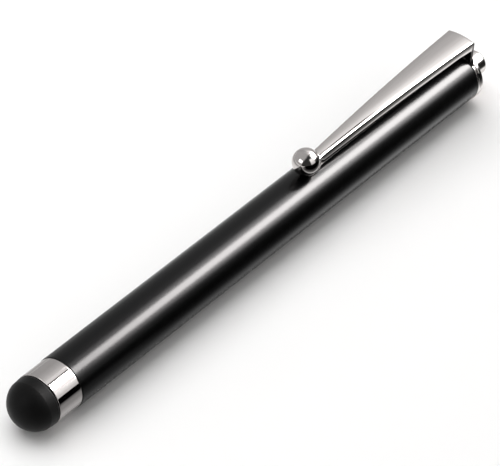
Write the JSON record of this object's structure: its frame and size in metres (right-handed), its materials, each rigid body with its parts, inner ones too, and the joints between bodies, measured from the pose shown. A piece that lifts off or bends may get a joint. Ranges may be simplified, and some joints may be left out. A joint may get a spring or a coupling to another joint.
{
  "type": "stylus pen",
  "caption": "Slim touch-screen stylus with a black rubber dome tip, chrome collar, black lacquered barrel, and a sprung chrome pocket clip with a ball end.",
  "frame": {"origin": "on the pen's axis, in the middle of the grip, 27 mm behind the barrel's front end", "axes": "+X along the pen from the tip to the finial, +Z to the clip, +Y across it"},
  "size_m": [0.1098, 0.0086, 0.0132],
  "materials": {
    "rubber": "matte black conductive silicone rubber",
    "chrome": "polished chrome plate",
    "lacquer": "gloss black lacquer on a drawn metal tube",
    "brass": "turned brass",
    "steel": "plain steel thread"
  },
  "bodies": {
    "pen": {"barrel": "lacquer", "ferrule": "chrome", "tip_core": "brass", "front_bush": "brass", "rear_plug": "brass", "finial_stud": "steel", "clip_root": "chrome", "end_ring": "chrome", "finial": "chrome"},
    "clip": {"clip_arm": "chrome", "clip_ball": "chrome"},
    "tip": {"tip_dome": "rubber"}
  },
  "joints": [
    {"name": "clip_flex", "type": "hinge", "parent": "pen", "child": "clip", "pos_m": [0.06805, 0, 0.00623], "axis": [0, 1, 0], "range_deg": [0, 5], "stiffness_Nm_per_rad": 1},
    {"name": "tip_press", "type": "slide", "parent": "pen", "child": "tip", "axis": [1, 0, 0], "range_m": [0, 0.0008], "stiffness_N_per_m": 500, "deforming": ["tip_dome"]}
  ]
}
